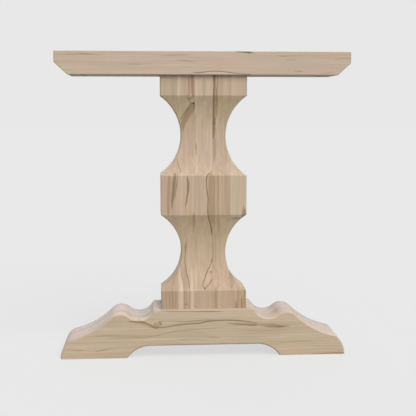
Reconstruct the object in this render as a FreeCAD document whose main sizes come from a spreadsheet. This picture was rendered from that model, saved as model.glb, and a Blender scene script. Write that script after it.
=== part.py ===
import FreeCAD, Part
import math
import os
import Sketcher

# Pedestal table base: a sledge foot, a coved column and a top bar, all of glued maple.
# X runs along the bar, Y from front to back and Z up from the floor, in millimetres.
# The origin is on the floor, under the middle of the column.

sizes = {
    # top bar
    "bar_length": 690,
    "bar_depth": 114,
    "bar_height": 54,
    "bar_end_height": 26,
    "bar_chamfer_run": 30.5,
    # column
    "column_width": 203,
    "column_depth": 98,
    "stave_width": 41.5,
    "bottom_block_height": 43.5,
    "lower_cove_height": 183,
    "middle_block_height": 93.5,
    "upper_cove_height": 187.5,
    "top_block_height": 47.5,
    "side_cove_depth": 49,
    "front_cove_depth": 17,
    # foot
    "foot_length": 685,
    "foot_depth": 114,
    "foot_height": 116,
    "foot_middle_width": 38,
    "ledge_length": 241,
    "scoop_run": 35,
    "scoop_drop": 24,
    "crest_run": 44.5,
    "crest_drop": 7.7,
    "sweep_radius": 195,
    "toe_setback": 22.5,
    "toe_height": 47,
    "toe_round": 8,
    "arch_span": 366,
    "arch_height": 28.5,
    "arch_corner_run": 54,
    # eased edges
    "bar_ease": 1,
    "column_ease": 1.5,
    "foot_ease": 3,
    # screw holes for the table top, driven from under the bar
    "top_hole_spacing_x": 560,
    "top_hole_spacing_y": 56,
    "top_hole_diameter": 8,
    "top_counterbore_diameter": 20,
    "top_counterbore_depth": 20,
    # lag screws, washers and dowels that hold the column
    "lag_diameter": 10,
    "lag_length": 150,
    "lag_tip_length": 10,
    "lag_tip_diameter": 2,
    "lag_head_across": 15,
    "lag_head_height": 6.5,
    "washer_diameter": 26,
    "washer_thickness": 2,
    "washer_room": 1,
    "bar_counterbore_depth": 14,
    "dowel_diameter": 12,
    "dowel_length": 60,
    "hole_clearance": 0.15,
    "hole_end_room": 0.6,
}

doc = FreeCAD.newDocument("pedestal_table_base")
sheet = doc.addObject("Spreadsheet::Sheet", "Sizes")
for row, (alias, number) in enumerate(sizes.items(), start=1):
    sheet.set(f"A{row}", alias)
    sheet.set(f"B{row}", str(number))
    sheet.setAlias(f"B{row}", alias)
doc.recompute()

# Heights of the levels, from the floor up
foot_top = "Sizes.foot_height"
lower_cove_foot = f"({foot_top} + Sizes.bottom_block_height)"
lower_cove_head = f"({lower_cove_foot} + Sizes.lower_cove_height)"
upper_cove_foot = f"({lower_cove_head} + Sizes.middle_block_height)"
upper_cove_head = f"({upper_cove_foot} + Sizes.upper_cove_height)"
column_top = f"({upper_cove_head} + Sizes.top_block_height)"
bar_top = f"({column_top} + Sizes.bar_height)"

# Places of the holes: lag screws in the two side staves, dowels in the outer blocks
core_half_width = "1.5 * Sizes.stave_width"
sides = (-1, 1)
lag_places = [(f"{side} * Sizes.stave_width", "0") for side in sides]
dowel_places = [(f"{side} * ({core_half_width} + Sizes.column_width / 2) / 2", "0") for side in sides]
top_places = [
    (f"{side} * Sizes.top_hole_spacing_x / 2", f"{face} * Sizes.top_hole_spacing_y / 2")
    for side in sides for face in sides
]
lag_hole_diameter = "(Sizes.lag_diameter + 2 * Sizes.hole_clearance)"
dowel_hole_diameter = "(Sizes.dowel_diameter + 2 * Sizes.hole_clearance)"
dowel_hole_depth = "(Sizes.dowel_length / 2 + Sizes.hole_end_room)"
counterbore_diameter = "(Sizes.washer_diameter + 2 * Sizes.washer_room)"

# Edges closer to a level than this lie on it
nearness = 0.01


def value(text):
    return float(sheet.evalExpression(text))


def spot(x, y):
    return FreeCAD.Vector(value(x), value(y), 0)


def arch_radius(chord, rise):
    return f"(({chord})^2 / 4 + ({rise})^2) / (2 * ({rise}))"


def new_body(name):
    return doc.addObject("PartDesign::Body", name)


def new_sketch(body, name, plane, lift="0"):
    sketch = body.newObject("Sketcher::SketchObject", name)
    support = [item for item in body.Origin.OriginFeatures if item.Role == plane][0]
    sketch.AttachmentSupport = [(support, "")]
    sketch.MapMode = "FlatFace"
    if lift != "0":
        sketch.setExpression("AttachmentOffset.Base.z", lift)
    return sketch


def pin_point(sketch, geometry, end, x, y):
    # Holds a point at a bound distance from each axis, or on the axis itself
    for direction, text, axis in (("DistanceX", x, -2), ("DistanceY", y, -1)):
        if text == "0":
            sketch.addConstraint(Sketcher.Constraint("PointOnObject", geometry, end, axis))
        else:
            rule = Sketcher.Constraint(direction, -1, 1, geometry, end, value(text))
            index = sketch.addConstraint(rule)
            sketch.setExpression(f"Constraints[{index}]", text)


def bind_radius(sketch, geometry, text):
    index = sketch.addConstraint(Sketcher.Constraint("Radius", geometry, value(text)))
    sketch.setExpression(f"Constraints[{index}]", text)


def arc_about(centre, start, end):
    # Counter-clockwise arc from the direction of start to the direction of end
    radius = (start - centre).Length
    circle = Part.Circle(centre, FreeCAD.Vector(0, 0, 1), radius)
    first = math.atan2(start.y - centre.y, start.x - centre.x)
    last = math.atan2(end.y - centre.y, end.x - centre.x)
    return Part.ArcOfCircle(circle, first, last)


def hollow_arc(start, end, radius):
    # Arc whose centre lies to the right of the way from start to end
    chord = end - start
    height = math.sqrt(radius**2 - chord.Length**2 / 4)
    right = FreeCAD.Vector(chord.y, -chord.x, 0).normalize()
    return arc_about((start + end) / 2 + right * height, end, start)


def trace(sketch, path):
    # Closed outline: each entry is a corner (x, y), with a radius where a hollow arc leaves it
    points = [spot(entry[0], entry[1]) for entry in path]
    ends = []
    for number, entry in enumerate(path):
        here = points[number]
        there = points[(number + 1) % len(points)]
        if len(entry) == 3:
            geometry = sketch.addGeometry(hollow_arc(here, there, value(entry[2])), False)
            ends.append((geometry, 2, 1))
        else:
            geometry = sketch.addGeometry(Part.LineSegment(here, there), False)
            ends.append((geometry, 1, 2))
    for number, entry in enumerate(path):
        geometry, first, last = ends[number]
        following, opening, closing = ends[(number + 1) % len(path)]
        rule = Sketcher.Constraint("Coincident", geometry, last, following, opening)
        sketch.addConstraint(rule)
    for number, entry in enumerate(path):
        geometry, first, last = ends[number]
        pin_point(sketch, geometry, first, entry[0], entry[1])
        if len(entry) == 3:
            bind_radius(sketch, geometry, entry[2])


def pad_across(body, name, sketch, depth):
    pad = body.newObject("PartDesign::Pad", name)
    pad.Profile = sketch
    pad.SideType = "Symmetric"
    pad.setExpression("Length", depth)
    doc.recompute()
    return pad


def pocket(body, name, sketch, depth=None, upward=False):
    # Cuts a sketch downward or upward to a depth, or right through both ways
    before = body.Shape.Volume
    cut = body.newObject("PartDesign::Pocket", name)
    cut.Profile = sketch
    cut.Reversed = upward
    if depth is None:
        cut.Type = "ThroughAll"
        cut.SideType = "Symmetric"
    else:
        cut.setExpression("Length", depth)
    doc.recompute()
    if cut.Shape.Volume >= before:
        raise RuntimeError(f"{name} cuts nothing")
    return cut


def mirror(body, name, feature, plane):
    copy = body.newObject("PartDesign::Mirrored", name)
    copy.Originals = [feature]
    support = [item for item in body.Origin.OriginFeatures if item.Role == plane][0]
    copy.MirrorPlane = (support, [""])
    body.Tip = copy
    doc.recompute()
    return copy


def edge_names(feature, chosen):
    edges = enumerate(feature.Shape.Edges, start=1)
    return [f"Edge{number}" for number, edge in edges if chosen(edge)]


def ease(body, name, feature, width, chosen):
    # Breaks the sharp edges that the test picks out
    broken = body.newObject("PartDesign::Chamfer", name)
    broken.Base = (feature, edge_names(feature, chosen))
    broken.setExpression("Size", width)
    doc.recompute()
    return broken


def round_over(body, name, feature, radius, chosen):
    rounded = body.newObject("PartDesign::Fillet", name)
    rounded.Base = (feature, edge_names(feature, chosen))
    rounded.setExpression("Radius", radius)
    doc.recompute()
    return rounded


def lies_across(edge):
    return edge.BoundBox.YLength > nearness


def lies_upright(edge):
    return edge.BoundBox.ZLength > nearness


def lies_on_side(edge, depth):
    bounds = edge.BoundBox
    return not lies_across(edge) and abs(abs(bounds.YMin) - value(depth) / 2) < nearness


def lies_at(edge, height):
    bounds = edge.BoundBox
    return not lies_upright(edge) and abs(bounds.ZMin - value(height)) < nearness


def drill(body, name, places, diameter, lift, depth, upward=False):
    # Upright round holes of one size, sunk from the level that lift gives
    sketch = new_sketch(body, f"{name}_sketch", "XY_Plane", lift)
    for x, y in places:
        circle = Part.Circle(spot(x, y), FreeCAD.Vector(0, 0, 1), value(diameter) / 2)
        geometry = sketch.addGeometry(circle, False)
        pin_point(sketch, geometry, 3, x, y)
        bind_radius(sketch, geometry, f"{diameter} / 2")
    return pocket(body, name, sketch, depth, upward)


def box(name, low, high):
    block = doc.addObject("Part::Box", name)
    for side, direction, start, end in zip(("Length", "Width", "Height"), "xyz", low, high):
        block.setExpression(side, f"({end}) - ({start})")
        block.setExpression(f"Placement.Base.{direction}", start)
    return block


def share(name, form, low, high):
    # The part of a glued-up form that one board makes up
    board = doc.addObject("Part::Common", name)
    board.Base = form
    board.Tool = box(f"{name}_blank", low, high)
    board.Refine = True
    return board


# Top bar: the lower corner of each end is chamfered away
bar = new_body("top_bar")
bar_half = "Sizes.bar_length / 2"
bar_sketch = new_sketch(bar, "bar_sketch", "XZ_Plane")
trace(bar_sketch, [
    ("0", column_top),
    (f"{bar_half} - Sizes.bar_chamfer_run", column_top),
    (bar_half, f"{bar_top} - Sizes.bar_end_height"),
    (bar_half, bar_top),
    ("0", bar_top),
])
bar_pad = pad_across(bar, "bar_pad", bar_sketch, "Sizes.bar_depth")
bar_whole = mirror(bar, "bar_whole", bar_pad, "YZ_Plane")
ease(bar, "bar_easing", bar_whole, "Sizes.bar_ease",
     lambda edge: lies_across(edge) or lies_on_side(edge, "Sizes.bar_depth"))
drill(bar, "top_holes", top_places, "Sizes.top_hole_diameter", column_top,
      "Sizes.bar_height", upward=True)
drill(bar, "top_counterbores", top_places, "Sizes.top_counterbore_diameter", column_top,
      "Sizes.top_counterbore_depth", upward=True)
drill(bar, "bar_lag_holes", lag_places, lag_hole_diameter, bar_top, "Sizes.bar_height")
drill(bar, "bar_counterbores", lag_places, counterbore_diameter, bar_top, "Sizes.bar_counterbore_depth")
drill(bar, "bar_dowel_holes", dowel_places, dowel_hole_diameter, column_top, dowel_hole_depth, upward=True)

# Column: the staves are glued up first, then the coves are sawn round all four sides
column = new_body("column_form")
column_half = "Sizes.column_width / 2"
coves = [
    (lower_cove_foot, lower_cove_head, "Sizes.lower_cove_height"),
    (upper_cove_foot, upper_cove_head, "Sizes.upper_cove_height"),
]
column_sketch = new_sketch(column, "column_sketch", "XZ_Plane")
column_path = [("0", foot_top), (column_half, foot_top)]
for cove_foot, cove_head, cove_height in coves:
    column_path.append((column_half, cove_foot, arch_radius(cove_height, "Sizes.side_cove_depth")))
    column_path.append((column_half, cove_head))
column_path += [(column_half, column_top), ("0", column_top)]
trace(column_sketch, column_path)
column_pad = pad_across(column, "column_pad", column_sketch, "Sizes.column_depth")
column_whole = mirror(column, "column_whole", column_pad, "YZ_Plane")
face_sketch = new_sketch(column, "face_sketch", "YZ_Plane")
for cove_foot, cove_head, cove_height in coves:
    face_radius = arch_radius(cove_height, "Sizes.front_cove_depth")
    trace(face_sketch, [("Sizes.column_depth / 2", cove_foot, face_radius),
                        ("Sizes.column_depth / 2", cove_head)])
face_coves = pocket(column, "face_coves", face_sketch)
column_coved = mirror(column, "column_coved", face_coves, "XZ_Plane")
ease(column, "column_easing", column_coved, "Sizes.column_ease", lies_upright)
bar_grip = "(Sizes.bar_height - Sizes.bar_counterbore_depth + Sizes.washer_thickness)"
foot_grip = "(Sizes.foot_height - Sizes.arch_height + Sizes.washer_thickness)"
drill(column, "upper_lag_holes", lag_places, lag_hole_diameter, column_top,
      f"Sizes.lag_length - {bar_grip} + Sizes.hole_end_room")
drill(column, "lower_lag_holes", lag_places, lag_hole_diameter, foot_top,
      f"Sizes.lag_length - {foot_grip} + Sizes.hole_end_room", upward=True)
drill(column, "upper_dowel_holes", dowel_places, dowel_hole_diameter, column_top, dowel_hole_depth)
drill(column, "lower_dowel_holes", dowel_places, dowel_hole_diameter, foot_top, dowel_hole_depth, upward=True)

# Boards of the column: three staves run its full height, the outer ones are left as blocks
front = "-Sizes.column_depth / 2"
back = "Sizes.column_depth / 2"
stave_half = "Sizes.stave_width / 2"
staves = []
for name, start, end in (
    ("left_stave", f"-{core_half_width}", f"-{stave_half}"),
    ("middle_stave", f"-{stave_half}", stave_half),
    ("right_stave", stave_half, core_half_width),
):
    staves.append(share(name, column, (start, front, foot_top), (end, back, column_top)))
lower_neck = f"({lower_cove_foot} + {lower_cove_head}) / 2"
upper_neck = f"({upper_cove_foot} + {upper_cove_head}) / 2"
storeys = [
    ("bottom", foot_top, lower_neck),
    ("middle", lower_neck, upper_neck),
    ("top", upper_neck, column_top),
]
blocks = []
for storey, start, end in storeys:
    blocks.append(share(f"left_{storey}_block", column, (f"-{column_half}", front, start),
                        (f"-{core_half_width}", back, end)))
    blocks.append(share(f"right_{storey}_block", column, (core_half_width, front, start),
                        (column_half, back, end)))

# Foot: half of its ogee outline, from the middle to the toe, is drawn and mirrored
foot = new_body("foot_form")
foot_sketch = new_sketch(foot, "foot_sketch", "XZ_Plane")
ledge_end = "Sizes.ledge_length / 2"
scoop_x = f"({ledge_end} + Sizes.scoop_run)"
crest_x = f"({scoop_x} + Sizes.crest_run)"
toe_x = "(Sizes.foot_length / 2 - Sizes.toe_setback)"
arch_end = "(Sizes.arch_span / 2 - Sizes.arch_corner_run)"
scoop_radius = arch_radius("2 * Sizes.scoop_run", "Sizes.scoop_drop")
crest_rise = "(Sizes.scoop_drop - Sizes.crest_drop)"
crest_radius = f"{arch_radius('2 * Sizes.crest_run', crest_rise)} - {scoop_radius}"
toe_radius = arch_radius("2 * Sizes.toe_height", "Sizes.toe_setback")
corner_radius = arch_radius("2 * Sizes.arch_corner_run", "Sizes.arch_height")
ledge_corner = spot(ledge_end, foot_top)
toe_corner = spot(toe_x, "Sizes.toe_height")
floor_toe = spot("Sizes.foot_length / 2", "0")
floor_arch = spot("Sizes.arch_span / 2", "0")
arch_crown = spot(arch_end, "Sizes.arch_height")
scoop_centre = spot(scoop_x, f"{foot_top} - Sizes.scoop_drop + {scoop_radius}")
crest_centre = spot(crest_x, f"{foot_top} - Sizes.crest_drop - ({crest_radius})")
toe_centre = spot(f"Sizes.foot_length / 2 - {toe_radius}", "0")
corner_centre = spot(arch_end, f"Sizes.arch_height - {corner_radius}")
towards_crest = (crest_centre - scoop_centre).normalize()
scoop_end = scoop_centre + towards_crest * value(scoop_radius)
downhill = FreeCAD.Vector(1, 1, 0).normalize()
crest_end = crest_centre + downhill * value(crest_radius)
sweep_centre = crest_end + downhill * value("Sizes.sweep_radius")
middle_line, ledge, scoop, crest, sweep, toe, floor, arch_corner, arch_flat = foot_sketch.addGeometry([
    Part.LineSegment(spot("0", "Sizes.arch_height"), spot("0", foot_top)),
    Part.LineSegment(spot("0", foot_top), ledge_corner),
    arc_about(scoop_centre, ledge_corner, scoop_end),
    arc_about(crest_centre, crest_end, scoop_end),
    arc_about(sweep_centre, crest_end, toe_corner),
    arc_about(toe_centre, floor_toe, toe_corner),
    Part.LineSegment(floor_toe, floor_arch),
    arc_about(corner_centre, floor_arch, arch_crown),
    Part.LineSegment(arch_crown, spot("0", "Sizes.arch_height")),
], False)
for first, first_end, second, second_end in (
    (middle_line, 2, ledge, 1), (ledge, 2, scoop, 1), (sweep, 2, toe, 2), (toe, 1, floor, 1),
    (floor, 2, arch_corner, 1), (arch_flat, 2, middle_line, 1),
):
    foot_sketch.addConstraint(Sketcher.Constraint("Coincident", first, first_end, second, second_end))
for first, first_end, second, second_end in (
    (scoop, 2, crest, 2), (crest, 1, sweep, 1), (arch_corner, 2, arch_flat, 1),
):
    foot_sketch.addConstraint(Sketcher.Constraint("Tangent", first, first_end, second, second_end))
pin_point(foot_sketch, middle_line, 1, "0", "Sizes.arch_height")
pin_point(foot_sketch, middle_line, 2, "0", foot_top)
pin_point(foot_sketch, ledge, 2, ledge_end, foot_top)
pin_point(foot_sketch, toe, 2, toe_x, "Sizes.toe_height")
pin_point(foot_sketch, toe, 1, "Sizes.foot_length / 2", "0")
pin_point(foot_sketch, floor, 2, "Sizes.arch_span / 2", "0")
pin_point(foot_sketch, arch_flat, 1, arch_end, "Sizes.arch_height")
foot_sketch.addConstraint(Sketcher.Constraint("PointOnObject", toe, 3, -1))
bind_radius(foot_sketch, scoop, scoop_radius)
bind_radius(foot_sketch, crest, crest_radius)
bind_radius(foot_sketch, sweep, "Sizes.sweep_radius")
for geometry, text in ((scoop, scoop_x), (crest, crest_x)):
    rule = Sketcher.Constraint("DistanceX", -1, 1, geometry, 3, value(text))
    foot_sketch.setExpression(f"Constraints[{foot_sketch.addConstraint(rule)}]", text)
foot_pad = pad_across(foot, "foot_pad", foot_sketch, "Sizes.foot_depth")
foot_whole = mirror(foot, "foot_whole", foot_pad, "YZ_Plane")


def foot_edge(edge):
    ledge_corner_edge = lies_across(edge) and lies_at(edge, foot_top)
    side_edge = lies_on_side(edge, "Sizes.foot_depth") and not lies_at(edge, "0")
    return ledge_corner_edge or side_edge


foot_rounded = round_over(foot, "toe_rounding", foot_whole, "Sizes.toe_round",
                          lambda edge: lies_across(edge) and lies_at(edge, "Sizes.toe_height"))
ease(foot, "foot_easing", foot_rounded, "Sizes.foot_ease", foot_edge)
drill(foot, "foot_lag_holes", lag_places, lag_hole_diameter, "Sizes.arch_height",
      "Sizes.foot_height - Sizes.arch_height", upward=True)
drill(foot, "foot_dowel_holes", dowel_places, dowel_hole_diameter, foot_top, dowel_hole_depth)

# Boards of the foot, from front to back
foot_half = "Sizes.foot_length / 2"
seam = "Sizes.foot_middle_width / 2"
layers = [
    ("foot_front_board", "-Sizes.foot_depth / 2", f"-{seam}"),
    ("foot_middle_board", f"-{seam}", seam),
    ("foot_back_board", seam, "Sizes.foot_depth / 2"),
]
boards = []
for name, start, end in layers:
    boards.append(share(name, foot, (f"-{foot_half}", start, "0"), (foot_half, end, foot_top)))


def place(item, x, y, z, upside_down=False):
    turn = FreeCAD.Rotation(FreeCAD.Vector(1, 0, 0), 180 if upside_down else 0)
    item.Placement = FreeCAD.Placement(FreeCAD.Vector(0, 0, 0), turn)
    for direction, text in zip("xyz", (x, y, z)):
        item.setExpression(f"Placement.Base.{direction}", text)


def cylinder(name, radius, height, z="0"):
    rod = doc.addObject("Part::Cylinder", name)
    rod.setExpression("Radius", radius)
    rod.setExpression("Height", height)
    rod.setExpression("Placement.Base.z", z)
    return rod


def lag_screw(name):
    # Stands on the underside of its hex head, with its point upward
    head = doc.addObject("Part::Prism", f"{name}_head")
    head.Polygon = 6
    head.setExpression("Circumradius", "Sizes.lag_head_across / sqrt(3)")
    head.setExpression("Height", "Sizes.lag_head_height")
    head.setExpression("Placement.Base.z", "-Sizes.lag_head_height")
    shank_length = "Sizes.lag_length - Sizes.lag_tip_length"
    shank = cylinder(f"{name}_shank", "Sizes.lag_diameter / 2", shank_length)
    tip = doc.addObject("Part::Cone", f"{name}_tip")
    tip.setExpression("Radius1", "Sizes.lag_diameter / 2")
    tip.setExpression("Radius2", "Sizes.lag_tip_diameter / 2")
    tip.setExpression("Height", "Sizes.lag_tip_length")
    tip.setExpression("Placement.Base.z", shank_length)
    screw = doc.addObject("Part::MultiFuse", name)
    screw.Shapes = [head, shank, tip]
    return screw


def washer(name):
    ring = doc.addObject("Part::Cut", name)
    ring.Base = cylinder(f"{name}_disc", "Sizes.washer_diameter / 2", "Sizes.washer_thickness")
    ring.Tool = cylinder(f"{name}_bore", f"{lag_hole_diameter} / 2", "Sizes.washer_thickness")
    return ring


def dowel(name):
    return cylinder(name, "Sizes.dowel_diameter / 2", "Sizes.dowel_length")


def group(name, make, places, bar_z, foot_z):
    # Like fasteners kept together: half of them hold the bar from above, half the foot from below
    members = []
    for joint, z, upside_down in (("bar", bar_z, True), ("foot", foot_z, False)):
        for number, (x, y) in enumerate(places, start=1):
            member = make(f"{name}_{joint}_{number}")
            place(member, x, y, z, upside_down)
            members.append(member)
    whole = doc.addObject("Part::Compound", name)
    whole.Links = members
    return whole


# Fasteners: heads and washers sit in the bar's counterbores and under the foot's arch,
# and dowels lie half in each piece
bar_seat = f"({bar_top} - Sizes.bar_counterbore_depth + Sizes.washer_thickness)"
foot_seat = "(Sizes.arch_height - Sizes.washer_thickness)"
dowel_half = "Sizes.dowel_length / 2"
fasteners = [
    group("lag_screws", lag_screw, lag_places, bar_seat, foot_seat),
    group("washers", washer, lag_places, bar_seat, foot_seat),
    group("dowels", dowel, dowel_places, f"{column_top} + {dowel_half}", f"{foot_top} - {dowel_half}"),
]

# Every piece is checked before any is written
doc.recompute()
pieces = [bar] + staves + blocks + boards + fasteners
for item in doc.Objects:
    if {"Invalid", "Error"} & set(item.State):
        raise RuntimeError(f"{item.Label} failed to build")
for piece in pieces:
    if piece.Shape.isNull() or not piece.Shape.isValid():
        raise RuntimeError(f"{piece.Label} has no valid shape")
    expected = len(piece.Links) if piece in fasteners else 1
    if len(piece.Shape.Solids) != expected:
        raise RuntimeError(f"{piece.Label} has {len(piece.Shape.Solids)} solids, not {expected}")
os.makedirs("parts", exist_ok=True)
for piece in pieces:
    piece.Shape.exportStep(f"parts/{piece.Label}.step")
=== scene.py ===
import math
import bpy
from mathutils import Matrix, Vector


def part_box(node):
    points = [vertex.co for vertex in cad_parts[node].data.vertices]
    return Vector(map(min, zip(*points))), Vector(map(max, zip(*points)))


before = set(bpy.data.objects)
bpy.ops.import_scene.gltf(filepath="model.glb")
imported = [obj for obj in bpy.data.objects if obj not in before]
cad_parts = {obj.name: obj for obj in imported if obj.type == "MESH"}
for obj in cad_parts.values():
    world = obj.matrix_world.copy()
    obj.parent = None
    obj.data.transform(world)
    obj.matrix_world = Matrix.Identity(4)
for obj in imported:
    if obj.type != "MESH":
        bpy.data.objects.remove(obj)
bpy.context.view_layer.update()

scene = bpy.context.scene
scene.view_settings.view_transform = "Standard"
mmPerMetre = 1000.0
sideAxis, depthAxis, upAxis = range(3)  # x runs from left to right, y from front to back, z up
noiseMiddle = 0.5
noiseSpan = (0.3, 0.7)  # where most values of a noise lie
print("frame loaded:", len(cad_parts), "pieces")


# small helpers for building node trees

def wireUp(tree, kind, sockets, **settings):
    node = tree.nodes.new(kind)
    for name, setting in settings.items():
        setattr(node, name, setting)
    for socket, source in sockets.items():
        if isinstance(source, bpy.types.NodeSocket):
            tree.links.new(source, node.inputs[socket])
        else:
            node.inputs[socket].default_value = source
    return node


def reckon(tree, operation, *terms, clamp=False):
    sockets = dict(enumerate(terms))
    return wireUp(tree, "ShaderNodeMath", sockets, operation=operation, use_clamp=clamp).outputs[0]


def product(tree, result, *factors):
    for factor in factors:
        result = reckon(tree, "MULTIPLY", result, factor)
    return result


def apart(tree, value, middle):  # how far a value lies from the middle
    return reckon(tree, "ABSOLUTE", reckon(tree, "SUBTRACT", value, middle))


def centred(tree, noise, reach):  # a noise that swings evenly to both sides of zero
    return reckon(tree, "MULTIPLY_ADD", noise, reach, -reach * noiseMiddle)


def remap(tree, kind, value, start, end, low, high):
    sockets = {"Value": value, "From Min": start, "From Max": end, "To Min": low, "To Max": high}
    return wireUp(tree, "ShaderNodeMapRange", sockets, interpolation_type=kind).outputs[0]


def fade(tree, value, start, end, low=0.0, high=1.0):  # eased step from low at start to high at end
    return remap(tree, "SMOOTHSTEP", value, start, end, low, high)


def spread(tree, value, start, end, low, high):  # straight remap, held at both ends
    return remap(tree, "LINEAR", value, start, end, low, high)


def vectorStep(tree, operation, first, second):
    return wireUp(tree, "ShaderNodeVectorMath", {0: first, 1: second}, operation=operation).outputs[0]


def scaled(tree, vector, amount):
    return wireUp(tree, "ShaderNodeVectorMath", {0: vector, "Scale": amount}, operation="SCALE").outputs[0]


def split(tree, vector):
    return wireUp(tree, "ShaderNodeSeparateXYZ", {0: vector}).outputs


def splitColour(tree, colour):
    return wireUp(tree, "ShaderNodeSeparateColor", {0: colour}).outputs


def opaque(colour):
    return (*colour, 1.0)


def wash(tree, amount, under, over, mode="MIX"):
    under, over = (opaque(paint) if isinstance(paint, tuple) else paint for paint in (under, over))
    sockets = {0: amount, 6: under, 7: over}  # the colour inputs of a mix
    return wireUp(tree, "ShaderNodeMix", sockets, data_type="RGBA", blend_type=mode).outputs[2]


def shaded(colour, amount, warmth=0.0):  # the same colour lighter or darker, and redder or greener
    red, green, blue = colour
    return (red * amount * (1 + warmth), green * amount, blue * amount * (1 - warmth))


def newFinish(name):
    material = bpy.data.materials.new(name)
    material.use_nodes = True
    tree = material.node_tree
    return material, tree, tree.nodes["Principled BSDF"]


def placeOnPiece(tree):
    return wireUp(tree, "ShaderNodeTexCoord", {}).outputs["Object"]


def carve(tree, shader, height, strength, depth):  # fine relief, its depth in mm
    sockets = {"Strength": strength, "Distance": depth / mmPerMetre, "Height": height}
    tree.links.new(wireUp(tree, "ShaderNodeBump", sockets).outputs[0], shader.inputs["Normal"])


def dress(nodes, material):
    for node in nodes:
        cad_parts[node].data.materials[0] = material


# maple: values shared by all the boards, sizes in mm
maple = {
    "tints": {
        "mineral": (0.225, 0.14, 0.075),  # dark lines left by fungus and borers
        "brown": (0.34, 0.228, 0.145),
        "olive": (0.395, 0.29, 0.17),
        "pale": (0.64, 0.51, 0.39),
        "blush": (0.58, 0.41, 0.33),
        "pith": (0.03, 0.018, 0.01),
        "glue": (0.25, 0.18, 0.12),
        # the next tint is painted warm shade at the tops of the coves, under the blocks
        "coveShadeTint": (0.53, 0.417, 0.252),
        "peach": (0.585, 0.45, 0.34),
        "rose": (0.44, 0.345, 0.30),
        # the next two tints are painted shade on the foot's upper surfaces
        "footShadeTint": (0.46, 0.345, 0.262),
        "ash": (0.40, 0.365, 0.34),
    },
    "layers": {  # width, stretch along the grain, detail, and a shift that keeps the layers apart
        "sway": (70.0, 5.0, 1.0, 0.0),
        "bands": (9.0, 30.0, 2.0, 1.3),
        "lines": (2.4, 55.0, 2.0, 2.9),
        "fibres": (0.7, 40.0, 2.0, 4.1),
        "clouds": (38.0, 4.0, 2.0, 5.7),
        "wobble": (9.0, 3.0, 2.0, 7.7),
        "threads": (26.0, 14.0, 1.0, 9.1),
    },
    "layerRoughness": 0.55,
    "seedSteps": (1.0, -1.0, 0.7),  # how far a seed moves the layers on each axis
    "swayReach": 5.0,
    "wobbleReach": 1.6,
    "raggedness": 1.5,
    "ringSpacing": 5.5,
    "ringRise": (0.45, 0.93),
    "ringFall": (1.0, 0.95),
    "grainDepth": {  # the range of a layer that counts, and its weight
        "bands": (0.28, 0.72, 1.0),
        "lines": (*noiseSpan, 0.55),
        "fibres": (*noiseSpan, 0.35),
    },
    "grainLight": (1.10, -0.005),  # lightness and warmth, as shares of the board's tone
    "grainDark": (0.885, 0.02),
    "clouds": {  # where a cloud starts and is full, then its lightness and warmth
        "blush": (0.50, 0.72, 1.0, 0.07),
        "olive": (0.50, 0.74, 0.96, -0.05),
    },
    "upperLean": (0.15, 0.6),  # leans say from where to where a surface counts as facing a way
    "upperLight": (1.05, 0.0),
    "upperDark": (0.93, 0.01),
    "underShadeLean": (-0.6, -0.9),
    "endLean": (0.72, 0.98),
    "endLight": (0.86, 0.02),
    "endDark": (0.62, 0.03),
    "poreScale": 1.1,
    "poreEdge": (0.38, 0.12),
    "poreDepth": 0.45,
    "edgeStart": (0.35, 0.55),
    "edgeStop": (0.92, 0.82),
    "edgeTurn": (0.2, -0.2),
    "stripeEnd": 15.0,
    "stripeCore": 0.5,
    "washEnd": 2.0,
    "washLight": 1.06,
    "washDark": 0.9,
    "streakDepth": 1.5,  # all the streaks' strengths and widths are multiplied by these
    "streakWidth": 1.25,
    "streakMost": 0.97,
    "streakTail": 6.0,
    "streakLeast": 0.01,  # this and the next keep divisions clear of zero
    "streakRoom": 0.001,
    "streakEdge": (1.25, 0.25),
    "spotEdge": (1.2, 0.3),
    "threadLevel": 0.62,
    "threadWidth": 0.02,
    "threadBands": (0.42, 0.58),
    "threadDepth": 0.7,
    "glueDepth": 0.5,
    "roughness": (0.52, 0.70),
    "specular": 0.3,
    "fibreRelief": 0.12,
    "lineRelief": 0.6,
    "dentRelief": -2.0,
    "reliefStrength": 0.5,
}
plainBoard = {  # what a board has unless it says otherwise
    "sway": 1.0, "rings": 0.12, "contrast": 1.15, "blush": 0.35, "olive": 0.35,
    "edges": (1.06, 1.06),  # shares of the tone, at upper and lower edges: wear, with painted highlight and shade
    "edgeMarkDepth": 0.8,
    "figureDepth": (6.0, -12.0),  # the figure starts and is full at these depths
    "glueLine": 0.5,  # half width of the dark line
    "seams": [], "stripes": [], "washes": [], "streaks": [], "spots": [],
}
boardAxes = {  # along the grain, across the face, across the glue lines
    "x": (sideAxis, upAxis, depthAxis),
    "z": (upAxis, sideAxis, sideAxis),
}


def grainNoise(tree, place, board, layer):
    width, stretch, detail, shift = layer
    alongAxis = boardAxes[board["grain"]][0]
    scale = [mmPerMetre / width] * 3
    scale[alongAxis] /= stretch
    shifts = [(board["seed"] + shift) * step for step in maple["seedSteps"]]
    spot = wireUp(tree, "ShaderNodeMapping", {"Vector": place, "Location": shifts, "Scale": scale})
    sockets = {"Vector": spot.outputs[0], "Scale": 1.0, "Detail": detail,
               "Roughness": maple["layerRoughness"]}
    return wireUp(tree, "ShaderNodeTexNoise", sockets).outputs


def layGrain(tree, board, place):  # every layer of the grain follows its slow sway
    layers = maple["layers"]
    sway = grainNoise(tree, place, board, layers["sway"])["Color"]
    drift = vectorStep(tree, "SUBTRACT", sway, (noiseMiddle, noiseMiddle, noiseMiddle))
    drift = scaled(tree, drift, maple["swayReach"] * board["sway"] / mmPerMetre)
    swayed = vectorStep(tree, "ADD", place, drift)
    names = ("bands", "lines", "fibres", "threads")
    wood = {name: grainNoise(tree, swayed, board, layers[name])["Fac"] for name in names}
    wood["clouds"] = splitColour(tree, grainNoise(tree, swayed, board, layers["clouds"])["Color"])
    wood["swayedMm"] = scaled(tree, swayed, mmPerMetre)
    return wood


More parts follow.
